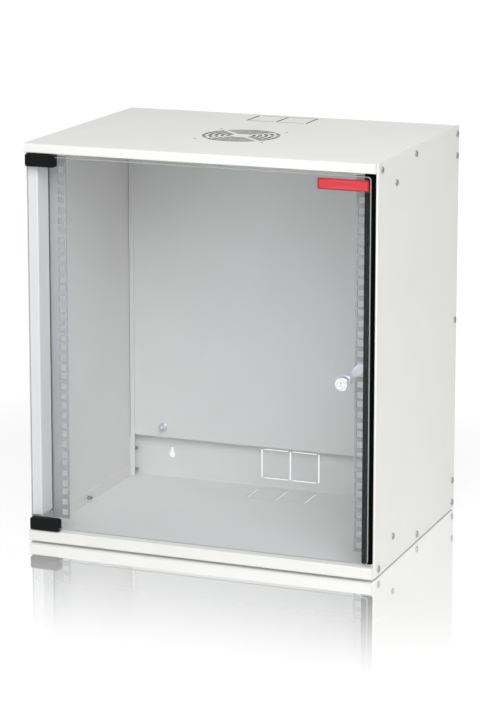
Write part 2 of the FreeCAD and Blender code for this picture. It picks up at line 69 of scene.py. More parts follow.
# Light, at the level where a colour renders about as it is written.
SKY_LIGHT = 0.45
KEY_LIGHT = 0.80
KEY_TURN = 25
KEY_HEIGHT = 37
KEY_DISTANCE = 2.8
KEY_WIDTH = 2.2
SIDE_LIGHT = 0.11
SIDE_TURN = 95
SIDE_HEIGHT = -12
SIDE_DISTANCE = 1.3
SIDE_WIDTH = 0.4

# The floor: its width, how far it lies under the cabinet and how strongly it glows, then the
# shares of mirror and of shade at the cabinet's foot and the distances over which they fade.
FLOOR_SIZE = 400.0
FLOOR_DROP = 1.8 * MM
FLOOR_GLOW = 1.05
MIRROR_SHARE = 0.76
MIRROR_START = -0.05
MIRROR_END = 0.46
SHADE_SHARE = 0.35
SHADE_END = 0.9

# Noise lies between about these two values.
NOISE = {"From Min": 0.3, "From Max": 0.7}

# Sizes of the patterns in the finishes. Polishing marks and a mould's sparks are really about a
# tenth of a millimetre wide, too fine to show, so they are drawn this coarse.
COAT_SATIN = 0.45
COAT_DRIFT = 90 * MM
PEEL_DEPTH = 0.02 * MM
POLISH_MARK = 0.8 * MM
POLISH_DEPTH = 0.01 * MM
SPARK = 1.5 * MM
SPARK_DEPTH = 0.03 * MM
FOAM_CELL = 0.6 * MM
FOAM_DEPTH = 0.04 * MM
GLASS_STREAK = 6 * MM
PRINT_STREAK = 5 * MM
RESIN_DRIFT = 12 * MM

# The steel sheet with a little to spare, and how far in from the roof's edges its punched slots
# begin. A face is a slot's wall, which gets painted shade, where its normal rises less than
# WALL_RISE, and one of the pane's two large faces where its normal runs along Y more than
# PANE_FACING.
SHEET = 1.3 * MM
ROOF_RIM = 10 * MM
WALL_RISE = 0.5
PANE_FACING = 0.9

# Sizes of the finer pieces. A cross recess, a thread and a key slot are cut to these. EDGE is
# the bevel on a turned edge, and LEAD_IN the one at the start of a hole, a thread or a square.
ANGLES = 64
SHARP_ANGLE = 35
EDGE = 0.2 * MM
LEAD_IN = 0.3 * MM
BARREL_START = 0.4 * MM
SOLID_SPREAD = 15 * MM
SCREW_HEAD_RADIUS = 5 * MM
SCREW_RADIUS = 2.5 * MM
SCREW_LENGTH = 10 * MM
SCREW_PITCH = 0.8 * MM
CROSS_LENGTH = 5.2 * MM
CROSS_WIDTH = 1.1 * MM
CLAMP_SCREW_RADIUS = 2 * MM
SOCKET_FLATS = 2 * MM
SOCKET_DEPTH = 1.5 * MM
SOCKET_EASE = 0.15 * MM
STUD_PITCH = 1.0 * MM
STUD_POINT = 0.6 * MM
BARREL_RADIUS = 8 * MM
BARREL_PITCH = 1.0 * MM
LOCK_HEAD_ROUND = 1.4 * MM
PLUG_RADIUS = 5.2 * MM
PLUG_HEAD_RADIUS = 6.2 * MM
PLUG_HEAD = 1.5 * MM
PLUG_RECESS = 0.4 * MM
PLUG_PLAY = 0.05 * MM
TANG = 6.4 * MM
KEY_SLOT_WIDTH = 2.4 * MM
KEY_SLOT_HEIGHT = 8.0 * MM
KEY_SLOT_DEPTH = 4.0 * MM
LOCK_NUT_FLATS = 22 * MM
WASHER_EASE = 0.1 * MM
EARTH_NUT_FLATS = 10 * MM
EARTH_NUT_EASE = 0.4 * MM
EARTH_WASHER = 1.6 * MM
FOAM_CORNER = 1.9 * MM
FOAM_END = 1.5 * MM
HEM_WIDTH = 7 * MM
HEM_DEPTH = 3 * MM
HEM_CORNER = 1 * MM
HEM_GAP = 0.6 * MM
LABEL_WIDTH = 76 * MM
LABEL_HEIGHT = 16.5 * MM
LABEL_CORNER = 2.0 * MM
LABEL_EDGE = 0.3 * MM
LABEL_DOME = 1.2 * MM
# The width of the label's darker rim of painted shade.
LABEL_SHADED_RIM = 2.2 * MM
LABEL_SIDE_GAP = 2.3 * MM
LABEL_TOP_GAP = 4.5 * MM

# Right, up and out of a piece's own axes, by the way that it faces.
FACING_RIGHT = ((0, 1, 0), (0, 0, 1), (1, 0, 0))
FACING_LEFT = ((0, 0, 1), (0, 1, 0), (-1, 0, 0))
FACING_FRONT = ((1, 0, 0), (0, 0, 1), (0, -1, 0))
FACING_REAR = ((-1, 0, 0), (0, 0, 1), (0, 1, 0))
FACING_UP = ((1, 0, 0), (0, 1, 0), (0, 0, 1))


def linear(hex_colour):
    """An sRGB hex value as the linear colour that shaders take."""
    parts = [int(hex_colour[i:i + 2], 16) / 255 for i in (1, 3, 5)]
    return [p / 12.92 if p <= 0.04045 else ((p + 0.055) / 1.055) ** 2.4 for p in parts] + [1.0]


def add(tree, kind, settings, sockets):
    """Adds a node with its settings. Each socket takes a value, another node's output, or a
    node, which stands for its first output."""
    node = tree.nodes.new(kind)
    for name, value in settings.items():
        setattr(node, name, value)
    for name, value in sockets.items():
        if isinstance(value, bpy.types.Node):
            value = value.outputs[0]
        if isinstance(value, bpy.types.NodeSocket):
            tree.links.new(value, node.inputs[name])
        else:
            node.inputs[name].default_value = value
    return node


def new_material(name):
    """An empty material and its node tree."""
    material = bpy.data.materials.new(name)
    material.use_nodes = True
    material.node_tree.nodes.clear()
    return material, material.node_tree


def within(tree, spans):
    """1 where every value lies within a reach of its middle, else 0: the product of the tests."""
    share = 1.0
    for value, middle, reach in spans:
        near = add(tree, "ShaderNodeMath", {"operation": "COMPARE"}, {
            0: value, 1: middle, 2: reach})
        share = add(tree, "ShaderNodeMath", {"operation": "MULTIPLY"}, {0: near, 1: share})
    return share


def shaded_slot_walls(tree):
    """1 on the upright walls of the slots and holes that the punch cut through the roof's sheet,
    else 0. These walls get painted shade.
    """
    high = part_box("roof_pan")[1]
    place = add(tree, "ShaderNodeTexCoord", {}, {})
    at = add(tree, "ShaderNodeSeparateXYZ", {}, {0: place.outputs["Object"]})
    facing = add(tree, "ShaderNodeSeparateXYZ", {}, {0: place.outputs["Normal"]})
    return within(tree, (
        (facing.outputs["Z"], 0, WALL_RISE), (at.outputs["Z"], high.z, SHEET),
        (at.outputs["X"], 0, high.x - ROOF_RIM), (at.outputs["Y"], 0, high.y - ROOF_RIM)))


def powder_coat(name, light, dark, lump, gloss=0.5, painted_slot_shade=None):
    """Polyester powder coat, sprayed and baked: an even satin colour with a fine orange-peel
    skin, and tones that drift a little over a hand's width where the coat is thicker. The walls
    of the slots that the punch cut may get a darker tone of their own: painted shade for the
    shadow inside the slots."""
    material, tree = new_material(name)
    place = add(tree, "ShaderNodeTexCoord", {}, {}).outputs["Object"]
    drift = add(tree, "ShaderNodeTexNoise", {}, {"Vector": place, "Scale": 1 / COAT_DRIFT})
    thickness = add(tree, "ShaderNodeMapRange", {}, {"Value": drift, **NOISE})
    tone = add(tree, "ShaderNodeMix", {"data_type": "RGBA"}, {
        0: thickness, 6: linear(dark), 7: linear(light)}).outputs[2]
    # The slot walls take a dark grey of their own: painted shade for the shadow inside the slots.
    if painted_slot_shade:
        tone = add(tree, "ShaderNodeMix", {"data_type": "RGBA"}, {
            0: shaded_slot_walls(tree), 6: tone, 7: linear(painted_slot_shade)}).outputs[2]
    peel = add(tree, "ShaderNodeTexNoise", {}, {"Vector": place, "Scale": 1 / lump})
    satin = add(tree, "ShaderNodeMapRange", {}, {
        "Value": peel, **NOISE, "To Min": COAT_SATIN - 0.05, "To Max": COAT_SATIN + 0.05})
    lumps = add(tree, "ShaderNodeBump", {}, {
        "Height": peel, "Strength": 1.0, "Distance": PEEL_DEPTH})
    coat = add(tree, "ShaderNodeBsdfPrincipled", {}, {
        "Base Color": tone, "Roughness": satin, "Specular IOR Level": gloss, "Normal": lumps})
    add(tree, "ShaderNodeOutputMaterial", {}, {"Surface": coat})
    return material


def plated_metal(name, light, dark, roughness, lump):
    """Electroplate on steel: bright metal with a faint cloudiness and fine polishing marks."""
    material, tree = new_material(name)
    place = add(tree, "ShaderNodeTexCoord", {}, {}).outputs["Object"]
    clouds = add(tree, "ShaderNodeTexNoise", {}, {"Vector": place, "Scale": 1 / lump})
    cloud = add(tree, "ShaderNodeMapRange", {}, {"Value": clouds, **NOISE})
    tone = add(tree, "ShaderNodeMix", {"data_type": "RGBA"}, {
        0: cloud, 6: linear(dark), 7: linear(light)})
    bloom = add(tree, "ShaderNodeMapRange", {}, {
        "Value": cloud, **NOISE, "To Min": roughness, "To Max": roughness + 0.08})
    marks = add(tree, "ShaderNodeTexNoise", {}, {"Vector": place, "Scale": 1 / POLISH_MARK})
    polish = add(tree, "ShaderNodeBump", {}, {
        "Height": marks, "Strength": 1.0, "Distance": POLISH_DEPTH})
    metal = add(tree, "ShaderNodeBsdfPrincipled", {}, {
        "Base Color": tone.outputs[2], "Metallic": 1.0, "Roughness": bloom, "Normal": polish})
    add(tree, "ShaderNodeOutputMaterial", {}, {"Surface": metal})
    return material


def closed_cell_foam(name):
    """Closed-cell rubber foam, extruded: deep matt black, since the cells under its skin swallow
    the light, with faint pinholes where they broke."""
    material, tree = new_material(name)
    place = add(tree, "ShaderNodeTexCoord", {}, {}).outputs["Object"]
    cells = add(tree, "ShaderNodeTexVoronoi", {}, {"Vector": place, "Scale": 1 / FOAM_CELL})
    tone = add(tree, "ShaderNodeMix", {"data_type": "RGBA"}, {
        0: cells, 6: linear("#030303"), 7: linear("#070708")})
    pinholes = add(tree, "ShaderNodeBump", {}, {
        "Height": cells, "Strength": 1.0, "Distance": FOAM_DEPTH})
    rubber = add(tree, "ShaderNodeBsdfPrincipled", {}, {
        "Base Color": tone.outputs[2], "Roughness": 0.9, "Specular IOR Level": 0.03,
        "Normal": pinholes})
    add(tree, "ShaderNodeOutputMaterial", {}, {"Surface": rubber})
    return material


def moulded_plastic(name, light, dark, roughness):
    """Moulded black nylon or rubber: a dull skin with the mould's fine spark texture."""
    material, tree = new_material(name)
    place = add(tree, "ShaderNodeTexCoord", {}, {}).outputs["Object"]
    sparks = add(tree, "ShaderNodeTexNoise", {}, {"Vector": place, "Scale": 1 / SPARK})
    tone = add(tree, "ShaderNodeMix", {"data_type": "RGBA"}, {
        0: sparks, 6: linear(dark), 7: linear(light)})
    dullness = add(tree, "ShaderNodeMapRange", {}, {
        "Value": sparks, **NOISE, "To Min": roughness - 0.06, "To Max": roughness + 0.06})
    pits = add(tree, "ShaderNodeBump", {}, {
        "Height": sparks, "Strength": 1.0, "Distance": SPARK_DEPTH})
    plastic = add(tree, "ShaderNodeBsdfPrincipled", {}, {
        "Base Color": tone.outputs[2], "Roughness": dullness, "Normal": pits})
    add(tree, "ShaderNodeOutputMaterial", {}, {"Surface": plastic})
    return material


def toughened_glass(name):
    """Toughened float glass, 4 mm: clear faces, and polished edges that read grey-green because
    the light in them has come a long way through the pane. Light for the inside passes it."""
    material, tree = new_material(name)
    place = add(tree, "ShaderNodeTexCoord", {}, {})
    facing = add(tree, "ShaderNodeSeparateXYZ", {}, {0: place.outputs["Normal"]})
    squareness = add(tree, "ShaderNodeMath", {"operation": "ABSOLUTE"}, {0: facing.outputs["Y"]})
    is_face = add(tree, "ShaderNodeMath", {"operation": "GREATER_THAN"}, {
        0: squareness, 1: PANE_FACING})
    face = add(tree, "ShaderNodeBsdfPrincipled", {}, {
        "Base Color": linear("#f2f3f7"), "Roughness": 0.0, "IOR": 1.30,
        "Transmission Weight": 1.0})
    streaks = add(tree, "ShaderNodeTexNoise", {}, {
        "Vector": place.outputs["Object"], "Scale": 1 / GLASS_STREAK})
    tone = add(tree, "ShaderNodeMix", {"data_type": "RGBA"}, {
        0: streaks, 6: linear("#98a29f"), 7: linear("#b4bcb9")})
    edge = add(tree, "ShaderNodeBsdfPrincipled", {}, {
        "Base Color": tone.outputs[2], "Roughness": 0.12})
    pane = add(tree, "ShaderNodeMixShader", {}, {0: is_face, 1: edge, 2: face})
    clear = add(tree, "ShaderNodeBsdfTransparent", {}, {"Color": linear("#fcfcfd")})
    ray = add(tree, "ShaderNodeLightPath", {}, {})
    for_bounces = add(tree, "ShaderNodeMixShader", {}, {
        0: ray.outputs["Is Diffuse Ray"], 1: pane, 2: clear})
    for_lamps = add(tree, "ShaderNodeMixShader", {}, {
        0: ray.outputs["Is Shadow Ray"], 1: for_bounces, 2: clear})
    add(tree, "ShaderNodeOutputMaterial", {}, {"Surface": for_lamps})
    return material


def domed_resin(name, light, dark, rim_shade):
    """Polyurethane resin, poured clear over a printed colour: an even deep colour with a darker
    rim of painted shade where the dome's edge curves down, under a wet gloss, with faint streaks
    from the print."""
    material, tree = new_material(name)
    middle = label_middle()
    place = add(tree, "ShaderNodeTexCoord", {}, {}).outputs["Object"]
    at = add(tree, "ShaderNodeSeparateXYZ", {}, {0: place})
    # Outside this field lies the darker rim: painted shade for the dome's curved edge.
    field = within(tree, (
        (at.outputs["X"], middle[0], LABEL_WIDTH / 2 - LABEL_SHADED_RIM),
        (at.outputs["Z"], middle[2], LABEL_HEIGHT / 2 - LABEL_SHADED_RIM)))
    streaks = add(tree, "ShaderNodeTexNoise", {}, {"Vector": place, "Scale": 1 / PRINT_STREAK})
    printed = add(tree, "ShaderNodeMix", {"data_type": "RGBA"}, {
        0: streaks, 6: linear(dark), 7: linear(light)})
    tone = add(tree, "ShaderNodeMix", {"data_type": "RGBA"}, {
        0: field, 6: linear(rim_shade), 7: printed.outputs[2]})
    drift = add(tree, "ShaderNodeTexNoise", {}, {"Vector": place, "Scale": 1 / RESIN_DRIFT})
    gloss = add(tree, "ShaderNodeMapRange", {}, {
        "Value": drift, **NOISE, "To Min": 0.08, "To Max": 0.14})
    ripples = add(tree, "ShaderNodeBump", {}, {
        "Height": streaks, "Strength": 1.0, "Distance": POLISH_DEPTH})
    resin = add(tree, "ShaderNodeBsdfPrincipled", {}, {
        "Base Color": tone.outputs[2], "Roughness": gloss, "Normal": ripples,
        "Coat Weight": 0.5})
    add(tree, "ShaderNodeOutputMaterial", {}, {"Surface": resin})
    return material


def studio_floor(name):
    """A white gloss floor. It shows the cabinet beside its foot, and that picture fades with the
    distance from it, as does the floor's shade. The rest of what the eye sees is a white glow,
    and through the glass it is all glow. Light that bounces meets a dull white sheet."""
    material, tree = new_material(name)
    place = add(tree, "ShaderNodeTexCoord", {}, {})
    at = add(tree, "ShaderNodeSeparateXYZ", {}, {0: place.outputs["Object"]})
    squares = []
    for axis, half in (("X", cad_box[1].x), ("Y", cad_box[1].y)):
        size = add(tree, "ShaderNodeMath", {"operation": "ABSOLUTE"}, {0: at.outputs[axis]})
        away = add(tree, "ShaderNodeMath", {"operation": "SUBTRACT"}, {0: size, 1: half})
        beyond = add(tree, "ShaderNodeMath", {"operation": "MAXIMUM"}, {0: away, 1: 0.0})
        squares.append(add(tree, "ShaderNodeMath", {"operation": "POWER"}, {0: beyond, 1: 2.0}))
    total = add(tree, "ShaderNodeMath", {"operation": "ADD"}, {0: squares[0], 1: squares[1]})
    distance = add(tree, "ShaderNodeMath", {"operation": "SQRT"}, {0: total})
    mirror = add(tree, "ShaderNodeMapRange", {"interpolation_type": "SMOOTHSTEP"}, {
        "Value": distance, "From Min": MIRROR_START, "From Max": MIRROR_END,
        "To Min": MIRROR_SHARE, "To Max": 0.0})
    glow_share = add(tree, "ShaderNodeMapRange", {"interpolation_type": "SMOOTHSTEP"}, {
        "Value": distance, "From Max": SHADE_END, "To Min": 1 - SHADE_SHARE, "To Max": 1.0})
    ray = add(tree, "ShaderNodeLightPath", {}, {})
    to_eye = add(tree, "ShaderNodeMath", {"operation": "MULTIPLY"}, {
        0: ray.outputs["Is Camera Ray"], 1: glow_share})
    glowing = add(tree, "ShaderNodeMath", {"operation": "MAXIMUM"}, {
        0: to_eye, 1: ray.outputs["Is Transmission Ray"]})
    dull = add(tree, "ShaderNodeBsdfDiffuse", {}, {"Color": linear("#ffffff")})
    glow = add(tree, "ShaderNodeEmission", {}, {"Color": (1, 1, 1, 1), "Strength": FLOOR_GLOW})
    pale = add(tree, "ShaderNodeMixShader", {}, {0: glowing, 1: dull, 2: glow})
    shine = add(tree, "ShaderNodeBsdfGlossy", {}, {"Color": (1, 1, 1, 1), "Roughness": 0.02})
    plain = add(tree, "ShaderNodeMath", {"operation": "MAXIMUM"}, {
        0: ray.outputs["Is Transmission Ray"], 1: ray.outputs["Is Diffuse Ray"]})
    shining = add(tree, "ShaderNodeMath", {"operation": "SUBTRACT", "use_clamp": True}, {
        0: mirror, 1: plain})
    gloss = add(tree, "ShaderNodeMixShader", {}, {0: shining, 1: pale, 2: shine})
    add(tree, "ShaderNodeOutputMaterial", {}, {"Surface": gloss})
    return material


def make_floor():
    """One flat square sheet under the cabinet."""
    half = FLOOR_SIZE / 2
    mesh = bpy.data.meshes.new("studio_floor")
    corners = [(-half, -half, -FLOOR_DROP), (half, -half, -FLOOR_DROP),
               (half, half, -FLOOR_DROP), (-half, half, -FLOOR_DROP)]
    mesh.from_pydata(corners, [], [(0, 1, 2, 3)])
    floor = bpy.data.objects.new("studio_floor", mesh)
    mesh.materials.append(studio_floor("studio_floor"))
    bpy.context.scene.collection.objects.link(floor)


def make_world():
    """A white surround for the eye, for mirrors and through glass, that lights the cabinet less."""
    world = bpy.data.worlds.new("studio")
    bpy.context.scene.world = world
    world.use_nodes = True
    tree = world.node_tree
    tree.nodes.clear()
    ray = add(tree, "ShaderNodeLightPath", {}, {})
    mirrored = add(tree, "ShaderNodeMath", {"operation": "MAXIMUM"}, {
        0: ray.outputs["Is Camera Ray"], 1: ray.outputs["Is Glossy Ray"]})
    seen = add(tree, "ShaderNodeMath", {"operation": "MAXIMUM"}, {
        0: mirrored, 1: ray.outputs["Is Transmission Ray"]})
    unbounced = add(tree, "ShaderNodeMath", {"operation": "LESS_THAN"}, {
        0: ray.outputs["Diffuse Depth"], 1: 0.5})
    white = add(tree, "ShaderNodeMath", {"operation": "MULTIPLY"}, {0: seen, 1: unbounced})
    strength = add(tree, "ShaderNodeMapRange", {}, {
        "Value": white, "To Min": SKY_LIGHT, "To Max": 1.0})
    sky = add(tree, "ShaderNodeBackground", {}, {"Color": (1, 1, 1, 1), "Strength": strength})
    add(tree, "ShaderNodeOutputWorld", {}, {"Surface": sky})


def make_lamp(name, turn, height, distance, width, light):
    """A round soft box that faces the cabinet's middle. Turn is to the right of the door's front
    and height above the cabinet's middle, both in degrees. Light is the share that it adds to a
    white wall there which faces it: power over pi squared and the distance squared."""
    low, high = cad_box
    turn, height = math.radians(turn), math.radians(height)
    lamp = bpy.data.lights.new(name, "AREA")
    lamp.shape = "DISK"
    lamp.size = width
    lamp.energy = light * (math.pi * distance) ** 2
    box = bpy.data.objects.new(name, lamp)
    box.location = (low + high) / 2 + distance * Vector((
        math.cos(height) * math.sin(turn), -math.cos(height) * math.cos(turn), math.sin(height)))
    box.rotation_euler = (math.pi / 2 - height, 0, turn)
    bpy.context.scene.collection.objects.link(box)


def make_camera():
    """The view from the right of the door and above it."""
    lens = bpy.data.cameras.new("camera")
    lens.lens = LENS
    lens.shift_y = SHIFT
    camera = bpy.data.objects.new("camera", lens)
    camera.location = CAMERA_PLACE
    camera.rotation_euler = (math.radians(90 - CAMERA_TILT), 0, math.radians(CAMERA_TURN))
    bpy.context.scene.collection.objects.link(camera)
    bpy.context.scene.camera = camera


def turn_angles():
    """Angles round a full turn, set half a step on, so that none lies on an axis."""
    return (np.arange(ANGLES) + 0.5) * (2 * math.pi / ANGLES)


def quarter_round(radius, level, corner):
    """Radii and levels along a quarter circle about a middle, from its outside to its top."""
    angles = np.radians(np.linspace(0, 90, 6))
    return list(zip(radius + corner * np.cos(angles), level + corner * np.sin(angles)))


def thread(radius, pitch, low, high):
    """Radii and levels of a thread drawn as ring grooves: crest and root in turn, half a pitch
    apart, with the root a third of a pitch below the crest."""
    levels = np.arange(low + pitch / 2, high - pitch / 4, pitch / 2)
    return list(zip(radius - (np.arange(len(levels)) % 2) * pitch / 3, levels))


def cross_outline(length, width):
    """A cross in polar form: half the length along an arm, or half the width over the sine of
    the angle from the nearest arm, whichever is less."""
    from_arm = (turn_angles() + math.pi / 4) % (math.pi / 2) - math.pi / 4
    return np.minimum(length / 2, width / 2 / np.abs(np.sin(from_arm)))


def oblong_outline(width, height):
    """An upright oblong in polar form: its side or its end, whichever is nearer."""
    angles = turn_angles()
    return np.minimum(width / 2 / np.abs(np.cos(angles)), height / 2 / np.abs(np.sin(angles)))


def polygon_outline(sides, flats):
    """A regular polygon in polar form, with a corner at angle 0: half the width across its flats
    over the cosine of the angle from the nearest flat's middle."""
    part = 2 * math.pi / sides
    return flats / 2 / np.cos(turn_angles() % part - part / 2)


def turned(profile):
    """Rings about the axis, one for each radius and level of the profile. A radius may be an
    array with a value for each angle: its ring is then that outline."""
    angles = turn_angles()
    return np.stack([np.stack([radius * np.cos(angles), radius * np.sin(angles),
                               np.full(ANGLES, level)], 1) for radius, level in profile])


def oblong_rings(width, height, corner, profile):
    """Rings of a rounded oblong: a circle of the corner's radius, whose quarters are moved apart
    to the four corners. The profile gives a share of the full size and a level for each ring."""
    angles = turn_angles()
    across = corner * np.cos(angles) + (width / 2 - corner) * np.sign(np.cos(angles))
    upwards = corner * np.sin(angles) + (height / 2 - corner) * np.sign(np.sin(angles))
    return np.stack([np.stack([share * across, share * upwards, np.full(ANGLES, level)], 1)
                     for share, level in profile])


def stood(rings, place, facing):
    """Rings moved from their own axes to a place, with their axis the way that they face."""
    return np.array(place, dtype=float) + rings @ np.array(facing, dtype=float)


def skin(name, tubes, bored=False):
    """One mesh from tubes of rings. Each ring is joined to the next one and round to its own
    first point. A bored tube also joins its last ring to its first; any other is closed at both
    ends by a fan to the middle of its end ring."""
    points, faces, base = [], [], 0
    for tube in tubes:
        count = len(tube)
        index = base + np.arange(count * ANGLES).reshape(count, ANGLES)
        here = index if bored else index[:-1]
        above = np.roll(index, -1, 0) if bored else index[1:]
        quads = np.stack([here, np.roll(here, -1, 1), np.roll(above, -1, 1), above], 2)
        faces += quads.reshape(-1, 4).tolist()
        points.append(tube.reshape(-1, 3))
        base += count * ANGLES
        for ring, rim in () if bored else ((index[0, ::-1], tube[0]), (index[-1], tube[-1])):
            faces += np.stack([ring, np.roll(ring, -1), np.full(ANGLES, base)], 1).tolist()
            points.append(rim.mean(0, keepdims=True))
            base += 1
    mesh = bpy.data.meshes.new(name)
    mesh.from_pydata(np.concatenate(points).tolist(), [], faces)
    mesh.polygons.foreach_set("use_smooth", np.ones(len(faces), dtype=bool))
    mesh.set_sharp_from_angle(angle=math.radians(SHARP_ANGLE))
    return mesh


def middles(node):
    """The middles of a CAD node's separate solids."""
    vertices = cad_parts[node].data.vertices
    corners = np.empty(3 * len(vertices))
    vertices.foreach_get("co", corners)
    corners = corners.reshape(-1, 3)
    found = []
    while len(corners):
        own = np.linalg.norm(corners - corners[0], axis=1) < SOLID_SPREAD
        found.append((corners[own].min(0) + corners[own].max(0)) / 2)
        corners = corners[~own]
    return found


def fit(mesh, material, body, node=None):
    """Puts a finished piece on its body, in place of a CAD node if it stands for one."""
    mesh.materials.append(material)
    piece = bpy.data.objects.new(mesh.name, mesh)
    bpy.context.scene.collection.objects.link(piece)
    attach(piece, body)
    if node:
        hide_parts(node)


def pan_head_screw(head):
    """A screw with its head's seat at level 0. The thread ends in a rim that rounds into a dome:
    the radius falls with the cosine and the level rises with the sine of one angle. The cross
    recess narrows to six tenths at a quarter of the head's height."""
    rim = head / 4
    swell = np.radians(np.linspace(0, 52, 6))
    levels = rim + (head - rim) * np.sin(swell) / np.sin(swell[-1])
    dome = zip(SCREW_HEAD_RADIUS * np.cos(swell), levels)
    cross = cross_outline(CROSS_LENGTH, CROSS_WIDTH)
    profile = [(0.8 * SCREW_RADIUS, -SCREW_LENGTH)]
    profile += thread(SCREW_RADIUS, SCREW_PITCH, -SCREW_LENGTH, 0)
    profile += [(SCREW_RADIUS, 0), (0.96 * SCREW_HEAD_RADIUS, 0), *dome]
    profile += [(cross, head), (0.9 * cross, 0.95 * head), (0.6 * cross, 0.25 * head)]
    return turned(profile)


def fit_pan_head_screws(node):
    """Crosshead screws through both side panels, for a CAD node of plain ones."""
    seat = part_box("right_side_panel")[1].x
    low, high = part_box(node)
    screw = pan_head_screw(max(high.x, -low.x) - seat)
    tubes = []
    for x, y, z in middles(node):
        side, facing = (1, FACING_RIGHT) if x > 0 else (-1, FACING_LEFT)
        tubes.append(stood(screw, (side * seat, y, z), facing))
    fit(skin("crosshead_" + node, tubes), screw_zinc, "cabinet", node)


def fit_clamp_screws():
    """Set screws in the clamps' back plates, each with a hexagon socket in its end."""
    low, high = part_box("clamp_screws")
    radius = CLAMP_SCREW_RADIUS
    socket = polygon_outline(6, SOCKET_FLATS)
    profile = [(0.85 * radius, low.y), (radius, low.y + LEAD_IN)]
    profile += thread(radius, SCREW_PITCH, low.y + LEAD_IN, high.y - LEAD_IN)
    profile += [(radius, high.y - LEAD_IN), (0.85 * radius, high.y), (1.1 * socket, high.y),
                (socket, high.y - SOCKET_EASE), (socket, high.y - SOCKET_DEPTH)]
    tubes = [stood(turned(profile), (x, 0, z), FACING_REAR) for x, y, z in middles("clamp_screws")]
    fit(skin("socket_clamp_screws", tubes), black_oxide, "door", "clamp_screws")


def hexagon_rings(flats, low, high):
    """Radii and levels of a nut's side: the hexagon, cut back at both ends by a 30-degree cone
    that starts inside its flats, at 0.48 of their width, and runs out a tenth of it further."""
    hexagon = polygon_outline(6, flats)
    bevel = flats * 0.1 * math.tan(math.radians(30))
    shares = np.linspace(0, 1, 4)
    cones = [np.minimum(hexagon, flats * (0.48 + 0.1 * share)) for share in shares]
    rings = [(cone, low + bevel * share) for cone, share in zip(cones, shares)]
    return rings + [(cone, high - bevel * share) for cone, share in zip(cones[::-1], shares[::-1])]


def fit_lock():
    """The lock's head and barrel, its plug and its nut, on the lock's axis. A level is a distance
    in front of the frame's middle."""
    (low, high), front_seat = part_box("lock_housing"), -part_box("lock_gasket")[0].y
    place = ((low.x + high.x) / 2, 0, (low.z + high.z) / 2)
    radius, front, rear = (high.x - low.x) / 2, -low.y, -high.y
    bore = PLUG_RADIUS + PLUG_PLAY
    counterbore = PLUG_HEAD_RADIUS + PLUG_PLAY
    ledge = front - PLUG_RECESS - PLUG_HEAD - PLUG_PLAY
    head = [(bore, rear), (BARREL_RADIUS - BARREL_START, rear),
            (BARREL_RADIUS, rear + BARREL_START)]
    head += thread(BARREL_RADIUS, BARREL_PITCH, rear + BARREL_START, front_seat)
    head += [(BARREL_RADIUS, front_seat), (radius - EDGE, front_seat), (radius, front_seat + EDGE)]
    head += quarter_round(radius - LOCK_HEAD_ROUND, front - LOCK_HEAD_ROUND, LOCK_HEAD_ROUND)
    head += [(counterbore + LEAD_IN, front - LEAD_IN / 3), (counterbore, front - LEAD_IN),
             (counterbore, ledge), (bore, ledge)]
    fit(skin("rounded_lock_head", [stood(turned(head), place, FACING_FRONT)], bored=True),
        chrome, "door", "lock_housing")

    tang_rear = -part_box("lock_plug")[1].y
    tang_front = -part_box("lock_cam")[0].y
    tang = polygon_outline(4, TANG)
    slot = oblong_outline(KEY_SLOT_WIDTH, KEY_SLOT_HEIGHT)
    face = front - PLUG_RECESS
    plug = [(0.9 * tang, tang_rear), (tang, tang_rear + LEAD_IN), (tang, tang_front),
            (PLUG_RADIUS, tang_front), (PLUG_RADIUS, ledge + PLUG_PLAY),
            (PLUG_HEAD_RADIUS, ledge + PLUG_PLAY), (PLUG_HEAD_RADIUS, face - EDGE),
            (PLUG_HEAD_RADIUS - EDGE, face), (slot + EDGE, face), (slot, face - EDGE),
            (slot, face - KEY_SLOT_DEPTH)]
    fit(skin("slotted_lock_plug", [stood(turned(plug), place, FACING_FRONT)]),
        chrome, "lock_plug", "lock_plug")

    hole = BARREL_RADIUS + PLUG_PLAY
    low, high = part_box("lock_washer")
    rim = (high.x - low.x) / 2
    washer = [(hole, -high.y), (rim - EDGE, -high.y), (rim, -high.y + EDGE),
              (rim, -low.y - WASHER_EASE - EDGE), (rim - EDGE, -low.y - WASHER_EASE),
              (hole, -low.y - WASHER_EASE)]
    fit(skin("eased_lock_washer", [stood(turned(washer), place, FACING_FRONT)], bored=True),
        zinc, "door", "lock_washer")

    low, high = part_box("lock_nut")
    nut = [(hole, -high.y + LEAD_IN), (hole + LEAD_IN, -high.y)]
    nut += hexagon_rings(LOCK_NUT_FLATS, -high.y, -low.y)
    nut += [(hole + LEAD_IN, -low.y), (hole, -low.y - LEAD_IN)]
    fit(skin("bevelled_lock_nut", [stood(turned(nut), place, FACING_FRONT)], bored=True),
        zinc, "door", "lock_nut")


def fit_earth_stud():
    """The earth stud's thread and its washer-faced nut, in front of the rear panel."""
    low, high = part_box("earth_stud")
    place = ((low.x + high.x) / 2, 0, (low.z + high.z) / 2)
    radius = (high.x - low.x) / 2
    stud = [(radius, -high.y)] + thread(radius, STUD_PITCH, -high.y, -low.y - STUD_POINT)
    stud += [(radius, -low.y - STUD_POINT), (0.75 * radius, -low.y)]
    fit(skin("threaded_earth_stud", [stood(turned(stud), place, FACING_FRONT)]),
        zinc, "cabinet", "earth_stud")

    low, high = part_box("earth_nut")
    flange = (high.x - low.x) / 2
    seat, top = -high.y, -low.y
    nut = [(radius, seat), (flange - EDGE, seat), (flange, seat + EDGE),
           (flange, seat + 0.6 * EARTH_WASHER), (0.9 * flange, seat + EARTH_WASHER)]
    nut += hexagon_rings(EARTH_NUT_FLATS, seat + EARTH_WASHER, top)
    nut += [(radius + EARTH_NUT_EASE, top), (radius, top - EARTH_NUT_EASE)]
    fit(skin("flanged_earth_nut", [stood(turned(nut), place, FACING_FRONT)], bored=True),
        zinc, "cabinet", "earth_nut")


